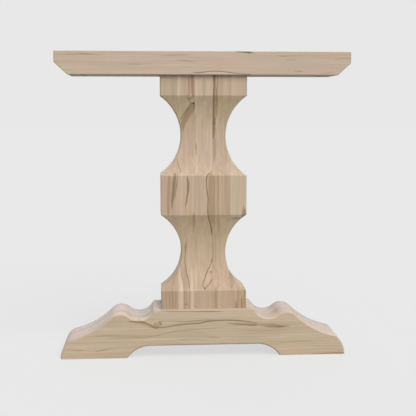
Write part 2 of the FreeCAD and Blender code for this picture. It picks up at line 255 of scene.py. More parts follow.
def growRings(tree, board, wood):  # rings round a heart that lies outside the board
    acrossAxis = boardAxes[board["grain"]][1]
    heartAcross, heartDepth = board["heart"]
    spot = split(tree, wood["swayedMm"])
    sideways = reckon(tree, "SUBTRACT", spot[acrossAxis], heartAcross)
    inward = reckon(tree, "SUBTRACT", spot[depthAxis], heartDepth)
    square = reckon(tree, "ADD", product(tree, sideways, sideways), product(tree, inward, inward))
    rings = reckon(tree, "DIVIDE", reckon(tree, "SQRT", square), maple["ringSpacing"])
    turn = reckon(tree, "FRACT", rings)
    wood["ring"] = product(tree, fade(tree, turn, *maple["ringRise"]), fade(tree, turn, *maple["ringFall"]))


def weighGrain(tree, board, wood):  # depth of the grain, from 0 where it is palest to 1
    depth = product(tree, wood["ring"], board["rings"])
    for name, (low, high, weight) in maple["grainDepth"].items():
        swing = spread(tree, wood[name], low, high, -noiseMiddle, noiseMiddle)
        depth = reckon(tree, "MULTIPLY_ADD", swing, weight, depth)
    wood["depth"] = reckon(tree, "MULTIPLY_ADD", depth, board["contrast"], noiseMiddle, clamp=True)


def readSurface(tree, board, wood):  # which way a surface faces, and the pores of the ends
    alongAxis = boardAxes[board["grain"]][0]
    facing = split(tree, wireUp(tree, "ShaderNodeNewGeometry", {}).outputs["True Normal"])
    wood["up"] = facing[upAxis]
    wood["upper"] = fade(tree, wood["up"], *maple["upperLean"])
    wood["faceLean"] = reckon(tree, "ABSOLUTE", facing[depthAxis])
    wood["ends"] = fade(tree, reckon(tree, "ABSOLUTE", facing[alongAxis]), *maple["endLean"])
    pores = wireUp(tree, "ShaderNodeTexVoronoi", {"Vector": wood["swayedMm"], "Scale": maple["poreScale"]})
    wood["porous"] = fade(tree, pores.outputs["Distance"], *maple["poreEdge"])


def placeFigure(tree, board, place, wood):  # the drawn figure doesn't follow the sway
    alongAxis, acrossAxis, seamAxis = boardAxes[board["grain"]]
    spot = split(tree, scaled(tree, place, mmPerMetre))
    wobble = grainNoise(tree, place, board, maple["layers"]["wobble"])["Fac"]
    wood["along"] = spot[alongAxis]
    wood["across"] = reckon(tree, "ADD", spot[acrossAxis], centred(tree, wobble, maple["wobbleReach"]))
    wood["inward"] = spot[depthAxis]
    wood["overSeams"] = spot[seamAxis]
    wood["ragged"] = centred(tree, wood["lines"], maple["raggedness"])
    wood["front"] = fade(tree, wood["inward"], *board["figureDepth"])


def bareWood(tree, board, wood):
    tone, depth = board["tone"], wood["depth"]
    colour = wash(tree, depth, shaded(tone, *maple["grainLight"]), shaded(tone, *maple["grainDark"]))
    for name, cloud in zip(maple["clouds"], wood["clouds"]):
        start, full, lightness, warmth = maple["clouds"][name]
        amount = product(tree, fade(tree, cloud, start, full), board[name])
        colour = wash(tree, amount, colour, shaded(tone, lightness, warmth))
    if "skyTintedUpperTone" in board:  # the upper surfaces take a greyer, cooler tone of their own, partly painted sky light
        light, dark = (shaded(board["skyTintedUpperTone"], *maple[share]) for share in ("upperLight", "upperDark"))
        colour = wash(tree, wood["upper"], colour, wash(tree, depth, light, dark))
    if "underside" in board:  # surfaces facing down are darkened: painted shade
        darker = wash(tree, 1.0, colour, (board["underside"],) * 3, "MULTIPLY")
        colour = wash(tree, fade(tree, wood["up"], *maple["underShadeLean"]), colour, darker)
    return colour


def endGrain(tree, board, wood, colour):  # darker than the face, with open pores instead of fibres
    tone = board["tone"]
    rings = product(tree, wood["ring"], maple["poreDepth"])
    depth = reckon(tree, "MULTIPLY_ADD", wood["porous"], maple["poreDepth"], rings)
    sawn = wash(tree, depth, shaded(tone, *maple["endLight"]), shaded(tone, *maple["endDark"]))
    return wash(tree, wood["ends"], colour, sawn)


def wornAndLitEdges(tree, board, wood, colour):  # broken edges take another tone than the face: wear, and painted highlight and shade
    tone = board["tone"]
    over, under = board["edges"]
    start, stop = (fade(tree, wood["faceLean"], *maple[edge]) for edge in ("edgeStart", "edgeStop"))
    upper, lower = shaded(board.get("skyTintedUpperTone", tone), over), shaded(tone, under)
    worn = wash(tree, fade(tree, wood["up"], *maple["edgeTurn"]), upper, lower)
    return wash(tree, product(tree, start, stop, board["edgeMarkDepth"]), colour, worn)


def upperStripes(tree, board, wood, colour):  # bands of colour on the upper surfaces, mostly painted shade in the dips, on the slopes and on the ledge
    end = maple["stripeEnd"]
    for tint, strength, middle, half, start, stop in board["stripes"]:
        side = fade(tree, apart(tree, wood["inward"], middle), half, half * maple["stripeCore"])
        rise = fade(tree, wood["along"], start - end, start + end)
        fall = fade(tree, wood["along"], stop + end, stop - end)
        mark = product(tree, rise, fall, side, wood["upper"], strength)
        colour = wash(tree, mark, colour, maple["tints"][tint])
    return colour


def broadWashes(tree, board, wood, colour):  # a tint over the whole width of the face, also painted shade at the tops of the coves
    end = maple["washEnd"]
    for tint, strength, start, full, stop in board["washes"]:
        light, dark = (shaded(maple["tints"][tint], maple[share]) for share in ("washLight", "washDark"))
        tinted = wash(tree, wood["depth"], light, dark)
        rise = fade(tree, wood["along"], start, full)
        fall = fade(tree, wood["along"], stop + end, stop - end)
        colour = wash(tree, product(tree, rise, fall, wood["front"], strength), colour, tinted)
    return colour


def drawStreak(tree, wood, path):
    # the ramp holds the streak's way along the board: red is its place across, green its half width
    (firstWay, firstSide, _), (lastWay, lastSide, _) = path[0], path[-1]
    start, end = firstWay - maple["streakTail"], lastWay + maple["streakTail"]
    path = [(way, side, half * maple["streakWidth"]) for way, side, half in path]
    path = [(start, firstSide, 0.0), *path, (end, lastSide, 0.0)]
    low = min(side for way, side, half in path)
    room = max(side for way, side, half in path) - low + maple["streakRoom"]
    widest = max(half for way, side, half in path)
    ramp = wireUp(tree, "ShaderNodeValToRGB", {0: spread(tree, wood["along"], start, end, 0.0, 1.0)})
    ramp.color_ramp.interpolation = "CARDINAL"
    stops = ramp.color_ramp.elements  # a new ramp already has its first and last stop
    for way, side, half in path[1:-1]:
        stops.new((way - start) / (end - start))
    for stop, (way, side, half) in zip(stops, path):
        stop.color = ((side - low) / room, half / widest, 0.0, 1.0)
    red, green, _ = splitColour(tree, ramp.outputs[0])
    centre = reckon(tree, "MULTIPLY_ADD", red, room, low)
    half = reckon(tree, "MULTIPLY_ADD", green, widest, maple["streakLeast"])
    offset = reckon(tree, "DIVIDE", reckon(tree, "SUBTRACT", wood["across"], centre), half)
    rim = reckon(tree, "ADD", reckon(tree, "ABSOLUTE", offset), wood["ragged"])
    return fade(tree, rim, *maple["streakEdge"])


def drawSpot(tree, wood, way, side, halfWay, halfSide):
    first = reckon(tree, "DIVIDE", reckon(tree, "SUBTRACT", wood["along"], way), halfWay)
    second = reckon(tree, "DIVIDE", reckon(tree, "SUBTRACT", wood["across"], side), halfSide)
    reach = wireUp(tree, "ShaderNodeCombineXYZ", {0: first, 1: second, 2: wood["ragged"]}).outputs[0]
    rim = wireUp(tree, "ShaderNodeVectorMath", {0: reach}, operation="LENGTH").outputs["Value"]
    return fade(tree, rim, *maple["spotEdge"])


def drawFigure(tree, board, wood, colour):
    dents = 0.0
    for tint, strength, path in board["streaks"]:
        amount = min(strength * maple["streakDepth"], maple["streakMost"])
        mark = product(tree, drawStreak(tree, wood, path), wood["front"], amount)
        colour = wash(tree, mark, colour, maple["tints"][tint])
    for tint, strength, *spot in board["spots"]:
        mark = product(tree, drawSpot(tree, wood, *spot), wood["front"])
        colour = wash(tree, product(tree, mark, strength), colour, maple["tints"][tint])
        if tint == "pith":  # a hole
            dents = reckon(tree, "ADD", dents, mark)
    return colour, dents


def strayThreads(tree, wood, colour):  # mineral lines of the sides without a drawn figure
    thread = fade(tree, apart(tree, wood["threads"], maple["threadLevel"]), maple["threadWidth"], 0.0)
    plain = reckon(tree, "SUBTRACT", 1.0, wood["front"])
    banded = fade(tree, wood["bands"], *maple["threadBands"])
    mark = product(tree, thread, plain, banded, maple["threadDepth"])
    return wash(tree, mark, colour, maple["tints"]["mineral"])


def glueLines(tree, board, wood, colour):
    for seam in board["seams"]:
        gap = apart(tree, wood["overSeams"], seam)
        line = fade(tree, gap, board["glueLine"], 0.0, 0.0, maple["glueDepth"])
        colour = wash(tree, line, colour, maple["tints"]["glue"])
    return colour


def mapleFinish(board):
    board = {**plainBoard, **board}
    material, tree, shader = newFinish(board["node"] + "_maple")
    place = placeOnPiece(tree)
    wood = layGrain(tree, board, place)
    growRings(tree, board, wood)
    weighGrain(tree, board, wood)
    readSurface(tree, board, wood)
    placeFigure(tree, board, place, wood)

    # colour, from the bare wood to the glue lines
    colour = bareWood(tree, board, wood)
    for layer in (endGrain, wornAndLitEdges, upperStripes, broadWashes):
        colour = layer(tree, board, wood, colour)
    colour, dents = drawFigure(tree, board, wood, colour)
    colour = strayThreads(tree, wood, colour)
    colour = glueLines(tree, board, wood, colour)
    tree.links.new(colour, shader.inputs["Base Color"])

    # gloss and relief
    roughness = spread(tree, wood["lines"], *noiseSpan, *maple["roughness"])
    tree.links.new(roughness, shader.inputs["Roughness"])
    shader.inputs["Specular IOR Level"].default_value = maple["specular"]
    relief = reckon(tree, "MULTIPLY_ADD", wood["lines"], maple["lineRelief"], wood["fibres"])
    relief = reckon(tree, "SUBTRACT", relief, product(tree, wood["porous"], wood["ends"]))
    relief = reckon(tree, "MULTIPLY_ADD", dents, maple["dentRelief"], relief)
    carve(tree, shader, relief, maple["reliefStrength"], maple["fibreRelief"])
    dress([board["node"]], material)
    print("maple laid on", board["node"])


def reachOf(node, axis):  # how far a piece goes along an axis, in mm
    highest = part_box(node)[1]
    return highest[axis] * mmPerMetre


innerSeam = reachOf("middle_stave", sideAxis)
outerSeam = reachOf("right_stave", sideAxis)
footSeam = reachOf("foot_middle_board", depthAxis)

# how the boards below are written, all in mm
# streaks: tint, strength and a path of (place along the grain, place across, half width)
# spots: tint, strength, place along, place across, and the two half sizes
# washes: tint, strength, and the heights where one starts, is full and stops
# stripes on upper surfaces: tint, strength, depth of the middle, half width, start and end

# boards of the column, from left to right
# the washes at the tops of the coves, under the blocks, are painted shade
leftTopBlock = {
    "node": "left_top_block", "grain": "z", "seed": 1.7, "heart": (-140.0, 60.0),
    "tone": (0.482, 0.387, 0.274), "seams": [-outerSeam], "blush": 0.2, "olive": 0.5,
    "washes": [("coveShadeTint", 0.7, 540, 605, 622)],
}
leftMiddleBlock = {
    "node": "left_middle_block", "grain": "z", "seed": 2.3, "heart": (-150.0, 70.0),
    "tone": (0.53, 0.4, 0.292), "seams": [-outerSeam],
    "streaks": [
        ("brown", 0.45, [(346, -84.0, 3.3), (367, -84.0, 3.8), (403, -83.5, 3.8), (433, -82.0, 2.8)]),
        ("mineral", 0.5, [(361, -76.0, 0.9), (377, -74.5, 2.6), (391, -72.5, 3.8), (407, -70.5, 4.5),
                          (426, -69.5, 4.2), (439, -68.5, 2.4)]),
        ("mineral", 0.35, [(386, -68.5, 1.2), (403, -66.0, 1.6), (419, -63.5, 1.6), (438, -62.5, 1.2)]),
    ],
}
leftBottomBlock = {
    "node": "left_bottom_block", "grain": "z", "seed": 3.9, "heart": (-130.0, 50.0),
    "tone": (0.468, 0.342, 0.238), "seams": [-outerSeam], "contrast": 1.5,
    "streaks": [
        ("mineral", 0.3, [(116, -75.5, 1.2), (138, -75.5, 1.4), (162, -76.0, 0.9)]),
        ("mineral", 0.3, [(116, -68.0, 0.9), (138, -67.5, 1.2), (162, -67.5, 0.7)]),
        ("mineral", 0.25, [(117, -84.0, 0.7), (139, -83.0, 0.9), (158, -83.5, 0.7)]),
    ],
}
leftStave = {
    "node": "left_stave", "grain": "z", "seed": 4.4, "heart": (-20.0, 90.0),
    "tone": (0.555, 0.42, 0.306), "seams": [-outerSeam, -innerSeam],
    "washes": [("coveShadeTint", 0.8, 520, 605, 622), ("coveShadeTint", 0.6, 190, 300, 342)],
    "streaks": [
        # rosy and brown strips of the upper cove
        ("rose", 0.14, [(447, -41.5, 18.0), (470, -41.5, 18.0), (500, -41.5, 14.0), (530, -41.5, 6.0)]),
        ("blush", 0.45, [(477, -40.5, 2.8), (508, -40.0, 3.8), (543, -41.0, 2.4)]),
        ("brown", 0.14, [(480, -26.5, 2.0), (515, -26.0, 5.0), (555, -25.5, 5.0), (592, -25.0, 2.4)]),
        # pale strips of the middle block
        ("pale", 0.3, [(346, -53.5, 3.4), (390, -53.0, 4.6), (438, -52.5, 3.8)]),
        ("pale", 0.25, [(346, -26.0, 1.4), (390, -26.5, 1.8), (438, -26.5, 1.4)]),
        # slanting figure of the upper cove, with a fork above it
        ("olive", 0.85, [(541, -50.0, 0.7), (550, -49.5, 2.8), (562, -47.5, 5.6), (572, -43.5, 7.1),
                         (583, -37.5, 7.5), (594, -30.5, 6.8), (602, -26.0, 5.2), (607, -24.0, 1.9)]),
        ("mineral", 0.55, [(570, -53.5, 0.9), (577, -48.5, 1.5), (586, -42.5, 1.5), (597, -35.5, 1.5),
                           (606, -30.5, 0.9)]),
        ("mineral", 0.45, [(556, -53.0, 0.6), (568, -48.5, 1.1), (579, -42.5, 1.1), (590, -35.5, 1.1),
                           (601, -28.5, 0.9)]),
        ("mineral", 0.4, [(549, -50.5, 0.5), (561, -46.0, 0.9), (574, -39.0, 0.9), (587, -31.0, 0.9),
                          (597, -25.0, 0.7)]),
        ("mineral", 0.5, [(543, -47.5, 0.5), (555, -44.5, 0.9), (569, -37.5, 0.9), (582, -29.5, 0.9),
                          (592, -23.0, 1.4), (604, -22.0, 1.2)]),
        ("mineral", 0.5, [(614, -34.5, 1.2), (618, -37.5, 1.9), (622, -39.0, 0.8)]),
        ("mineral", 0.55, [(614, -34.0, 1.2), (618, -29.5, 1.9), (622, -24.0, 1.2)]),
        # top block
        ("brown", 0.65, [(621, -24.5, 1.4), (627, -25.5, 3.2), (641, -26.5, 4.0), (655, -26.5, 4.4),
                         (671, -28.0, 3.4)]),
        ("brown", 0.5, [(625, -34.5, 2.2), (648, -35.0, 2.6), (664, -35.5, 2.6)]),
        ("pale", 0.5, [(622, -58.5, 3.5), (645, -57.5, 3.5), (666, -57.5, 2.8)]),
        # middle block and the coves next to it
        ("mineral", 0.55, [(363, -43.0, 0.7), (372, -42.0, 1.4), (384, -40.0, 1.6), (395, -38.0, 2.1),
                           (410, -37.0, 2.6), (424, -37.5, 2.6), (432, -39.0, 1.4)]),
        ("brown", 0.6, [(446, -55.5, 0.9), (453, -57.5, 1.4), (463, -60.5, 1.2), (475, -62.0, 0.5)]),
        ("olive", 0.6, [(300, -25.0, 0.9), (315, -24.0, 2.4), (330, -23.5, 3.5), (344, -24.0, 2.8)]),
        # bottom block and lower cove
        ("pale", 0.55, [(116, -54.5, 4.7), (167, -54.0, 4.2), (190, -56.5, 3.3), (213, -57.5, 1.9)]),
        ("pale", 0.55, [(116, -28.0, 3.1), (173, -28.0, 2.4), (208, -29.0, 1.4)]),
        ("brown", 0.25, [(116, -41.0, 5.6), (148, -41.0, 5.6), (171, -42.0, 5.6), (192, -44.0, 4.2),
                         (213, -45.5, 1.4)]),
        ("brown", 0.16, [(168, -42.0, 5.0), (180, -44.0, 6.4), (196, -47.0, 6.0), (214, -49.0, 2.0)]),
        ("mineral", 0.22, [(116, -35.0, 2.0), (152, -34.5, 2.0), (164, -34.7, 1.6)]),
        ("mineral", 0.5, [(166, -34.8, 1.0), (175, -35.5, 1.4), (187, -37.5, 1.4), (204, -41.5, 1.4),
                          (220, -44.0, 1.2), (237, -45.0, 1.2), (252, -44.0, 1.4), (266, -43.0, 1.9),
                          (275, -42.0, 0.7)]),
        ("mineral", 0.3, [(116, -47.0, 1.4), (143, -47.0, 1.4), (167, -48.0, 1.4), (185, -50.5, 1.2),
                          (201, -53.0, 0.9), (218, -56.0, 0.5)]),
    ],
    "spots": [("pith", 0.97, 605.6, -24.5, 2.9, 2.9), ("mineral", 0.6, 606.0, -28.5, 1.8, 3.4),
              ("mineral", 0.5, 127.7, -43.0, 3.0, 5.0)],
}
middleStave = {
    "node": "middle_stave", "grain": "z", "seed": 5.2, "heart": (25.0, 110.0),
    "tone": (0.56, 0.425, 0.312), "seams": [-innerSeam, innerSeam],
    # the first pale wash lightens the top block where the bar shades it: painted light
    "washes": [("pale", 0.45, 619, 625, 1000), ("pale", 0.3, 480, 540, 620),
               ("coveShadeTint", 0.4, 520, 605, 622), ("coveShadeTint", 0.6, 190, 300, 342),
               ("brown", 0.16, 225, 158, 1000)],
    "streaks": [
        # rosy foot of the upper cove, and pale strips
        ("rose", 0.14, [(447, 0.0, 18.0), (470, 0.0, 18.0), (500, 0.0, 14.0), (530, 0.0, 6.0)]),
        ("pale", 0.14, [(236, -4.0, 8.0), (262, -4.0, 9.0), (290, -4.0, 8.0)]),
        ("pale", 0.45, [(590, -17.5, 0.9), (636, -18.5, 2.1), (666, -18.5, 1.9)]),
        ("pale", 0.35, [(446, -17.5, 3.0), (474, -17.5, 2.6), (500, -18.5, 0.8)]),
        ("pale", 0.35, [(446, 17.8, 1.8), (480, 18.0, 2.2), (530, 18.4, 1.8), (575, 18.8, 0.7)]),
        # short marks of the top block and upper cove
        ("olive", 0.3, [(625, 0.5, 3.5), (641, -0.5, 5.2), (659, 0.5, 3.8)]),
        ("mineral", 0.45, [(484, -17.0, 0.5), (494, -17.5, 1.2), (503, -18.0, 1.2), (514, -18.0, 0.5)]),
        # long line of the middle block
        ("olive", 0.6, [(300, 21.5, 1.2), (320, 20.0, 2.8), (340, 17.0, 5.9), (359, 16.5, 6.8),
                        (390, 16.0, 6.8), (426, 15.5, 7.1), (439, 16.0, 3.5)]),
        ("mineral", 0.65, [(285, 21.5, 0.7), (295, 20.5, 1.9), (310, 17.5, 1.6), (326, 13.5, 1.4),
                           (343, 9.5, 1.4), (362, 9.0, 1.2), (381, 9.5, 1.2), (400, 7.5, 1.4),
                           (416, 6.0, 1.2), (431, 6.5, 1.6), (438, 9.0, 1.6), (442, 13.0, 1.2),
                           (444, 19.0, 0.7)]),
        # lower cove, with a loop at its foot
        ("pale", 0.4, [(162, -19.0, 1.4), (196, -18.5, 2.1), (227, -17.0, 1.4)]),
        ("olive", 0.2, [(213, -15.5, 1.2), (244, -16.5, 1.2), (325, -17.0, 1.4)]),
        ("mineral", 0.6, [(166, 1.0, 1.2), (172, -2.0, 0.9), (179, -1.0, 1.2), (189, 3.0, 1.2),
                          (201, 7.0, 1.2), (210, 11.5, 1.2), (220, 16.5, 1.2), (231, 20.0, 1.2)]),
        ("mineral", 0.65, [(164, 2.0, 0.9), (167, 5.0, 1.2), (172, 10.0, 1.2), (178, 16.0, 1.2),
                           (186, 19.0, 0.7)]),
    ],
    "spots": [("mineral", 0.8, 202.9, 17.0, 3.4, 3.0), ("mineral", 0.85, 164.6, 2.6, 2.6, 2.6),
              ("pale", 0.45, 186.0, 8.5, 12.0, 4.0)],
}
rightStave = {
    "node": "right_stave", "grain": "z", "seed": 6.6, "heart": (75.0, 80.0),
    "tone": (0.53, 0.395, 0.283), "seams": [innerSeam, outerSeam], "contrast": 1.3,
    "washes": [("coveShadeTint", 0.8, 520, 605, 622), ("coveShadeTint", 0.7, 190, 300, 342),
               ("olive", 0.18, 338, 346, 436)],
    "streaks": [
        # rosy foot of the upper cove, and a pale strip above it
        ("rose", 0.16, [(447, 41.5, 18.0), (470, 41.5, 18.0), (500, 41.5, 14.0), (530, 41.5, 6.0)]),
        ("pale", 0.16, [(622, 48.0, 7.0), (645, 47.0, 8.0), (668, 47.0, 7.0)]),
        # dark streak from the top block into the upper cove
        ("brown", 0.42, [(566, 26.0, 1.6), (581, 26.8, 3.3), (599, 27.0, 4.6), (620, 26.8, 5.2),
                         (641, 26.0, 3.3)]),
        ("mineral", 0.55, [(634, 24.0, 1.4), (646, 24.5, 2.1), (659, 24.0, 2.8), (671, 24.0, 3.1)]),
        ("mineral", 0.4, [(567, 28.5, 0.7), (576, 31.0, 1.2), (590, 31.5, 1.2), (604, 32.0, 1.4),
                          (616, 31.0, 1.6), (632, 30.0, 1.2), (646, 31.5, 1.2), (669, 31.5, 0.7)]),
        ("mineral", 0.6, [(562, 26.0, 0.7), (567, 25.0, 2.1), (574, 24.0, 2.4), (585, 23.5, 1.6),
                          (602, 23.5, 2.1), (618, 23.5, 2.4), (632, 23.0, 1.2)]),
        ("mineral", 0.55, [(527, 23.5, 2.2), (534, 24.0, 3.2), (543, 24.4, 3.7), (549, 24.4, 4.0),
                           (552, 24.0, 2.6), (556, 24.8, 4.2), (560, 24.8, 4.2), (567, 24.2, 1.8)]),
        ("mineral", 0.4, [(552, 24.0, 1.6), (556, 24.8, 2.0), (560, 24.6, 2.0), (563, 24.0, 1.0)]),
        ("brown", 0.42, [(472, 25.0, 1.6), (489, 26.5, 3.4), (508, 26.5, 3.2), (526, 25.0, 2.2)]),
        ("pale", 0.4, [(519, 33.0, 1.2), (543, 32.5, 1.9), (562, 31.5, 1.9), (576, 30.5, 0.7)]),
        # middle block
        ("olive", 0.65, [(310, 25.0, 0.9), (335, 24.5, 2.4), (366, 24.5, 2.4), (402, 24.5, 2.6),
                         (435, 24.0, 1.9)]),
        ("pale", 0.3, [(346, 47.5, 1.2), (390, 47.0, 1.6), (438, 47.0, 1.2)]),
        ("brown", 0.4, [(290, 35.0, 0.5), (325, 35.0, 1.4), (364, 33.5, 1.2), (402, 34.5, 1.4),
                        (435, 33.5, 0.9)]),
        # lower cove and bottom block
        ("brown", 0.4, [(226, 30.0, 0.5), (256, 29.5, 0.9), (285, 29.0, 0.5)]),
        ("olive", 0.55, [(115, 28.5, 3.8), (142, 28.5, 3.8), (163, 28.5, 2.4)]),
        ("blush", 0.4, [(161, 40.0, 2.8), (184, 40.5, 4.7), (212, 40.0, 2.4)]),
        ("mineral", 0.45, [(231, 21.5, 1.0), (242, 22.8, 1.0), (256, 23.0, 0.8), (273, 23.0, 0.5)]),
    ],
}
rightTopBlock = {
    "node": "right_top_block", "grain": "z", "seed": 7.1, "heart": (150.0, 60.0),
    "tone": (0.545, 0.427, 0.311), "seams": [outerSeam], "blush": 0.45,
    "washes": [("coveShadeTint", 0.7, 540, 605, 622)],
}
rightMiddleBlock = {
    "node": "right_middle_block", "grain": "z", "seed": 8.8, "heart": (160.0, 75.0),
    "tone": (0.565, 0.447, 0.325), "seams": [outerSeam], "olive": 0.45,
    "streaks": [
        ("pale", 0.2, [(347, 79.0, 3.5), (390, 80.0, 4.7), (433, 78.5, 3.5)]),
        ("mineral", 0.45, [(336, 96.0, 6.5), (343, 95.5, 5.6), (352, 95.5, 3.8), (361, 94.5, 0.9)]),
    ],
    "spots": [("mineral", 0.55, 333.5, 76.0, 4.0, 13.0)],
}
rightBottomBlock = {
    "node": "right_bottom_block", "grain": "z", "seed": 9.5, "heart": (140.0, 55.0),
    "tone": (0.52, 0.385, 0.258), "seams": [outerSeam], "contrast": 1.5,
    "streaks": [
        ("mineral", 0.75, [(116, 91.0, 1.2), (128, 91.0, 1.2), (141, 91.0, 0.5)]),
        ("mineral", 0.3, [(114, 81.5, 0.9), (141, 82.0, 0.9), (165, 82.5, 0.7)]),
        ("olive", 0.6, [(114, 98.0, 3.8), (141, 98.0, 3.5), (165, 97.5, 2.4)]),
        ("brown", 0.34, [(166, 67.0, 3.0), (176, 67.5, 6.0), (188, 66.5, 6.0), (206, 64.0, 4.0)]),
        ("rose", 0.36, [(164, 81.0, 5.0), (174, 79.0, 8.0), (186, 75.0, 5.0)]),
        ("brown", 0.6, [(114, 78.0, 3.5), (121, 77.5, 2.8), (136, 76.0, 0.7)]),
    ],
}

# top bar
topBar = {
    "node": "top_bar", "grain": "x", "seed": 11.3, "heart": (560.0, 70.0),
    "tone": (0.567, 0.453, 0.347),
    "contrast": 0.8, "rings": 0.15, "blush": 0.8, "olive": 0.8, "sway": 1.2,
    # the darker underside and the darker edges of the bar are painted shade
    "edges": (0.84, 0.8), "underside": 0.72, "figureDepth": (-46.0, -52.0),
    "streaks": [
        # left half
        ("olive", 0.75, [(-343, 716.5, 0.7), (-319, 716.5, 0.9), (-296, 716.5, 1.2), (-280, 717.0, 1.9),
                         (-267, 717.0, 1.6), (-251, 716.5, 0.9), (-232, 715.5, 0.5)]),
        ("mineral", 0.3, [(-177, 695.0, 0.5), (-164, 695.0, 1.2), (-152, 694.5, 0.7),
                          (-141, 694.0, 0.2)]),
        ("mineral", 0.3, [(-60, 704.5, 0.5), (-42, 703.5, 1.2), (-30, 702.0, 0.9), (-22, 702.0, 0.5)]),
        ("brown", 0.4, [(-99, 715.0, 0.5), (-74, 715.5, 1.2), (-51, 716.5, 1.2), (-30, 717.0, 0.5)]),
        ("blush", 0.6, [(-123, 689.5, 0.9), (-106, 688.5, 2.0), (-83, 687.5, 0.9)]),
        # crack at the top edge
        ("pith", 0.48, [(74, 724.0, 0.6), (84, 723.8, 1.2), (92, 723.4, 1.5), (100, 722.9, 2.0),
                        (106, 722.3, 2.4), (110, 723.0, 0.8)]),
        ("mineral", 0.4, [(106, 722.0, 0.9), (112, 720.5, 0.7), (121, 718.5, 0.2)]),
        # long line over the column
        ("pale", 0.3, [(2, 675.0, 0.9), (26, 675.5, 1.9), (51, 675.0, 1.4), (70, 673.0, 0.5)]),
        ("mineral", 0.5, [(-24, 676.0, 0.7), (-14, 676.0, 1.6), (0, 677.5, 1.4), (19, 679.5, 1.2),
                          (37, 679.5, 1.2), (47, 678.5, 1.2), (65, 676.0, 1.1), (84, 674.0, 0.9),
                          (105, 672.5, 0.7)]),
        # right half
        ("olive", 0.55, [(171, 715.0, 0.7), (185, 714.5, 1.6), (196, 715.0, 0.9), (227, 716.5, 0.5)]),
        ("olive", 0.5, [(191, 706.0, 0.5), (201, 706.0, 0.9), (213, 705.5, 0.5)]),
        ("brown", 0.4, [(212, 679.5, 0.7), (224, 679.0, 1.6), (232, 679.5, 0.5)]),
        ("olive", 0.45, [(269, 675.5, 0.5), (287, 676.0, 1.2), (308, 677.5, 0.5)]),
        ("olive", 0.5, [(305, 707.5, 0.5), (319, 709.0, 1.2), (341, 710.5, 0.9)]),
    ],
    "spots": [("blush", 0.45, -106.0, 702.0, 13.0, 7.0), ("blush", 0.45, 35.0, 693.0, 15.0, 8.0),
              ("blush", 0.4, 204.0, 697.0, 11.0, 7.0), ("blush", 0.4, 256.0, 696.0, 11.0, 6.0),
              ("blush", 0.45, -326.0, 713.0, 15.0, 5.0)],
}

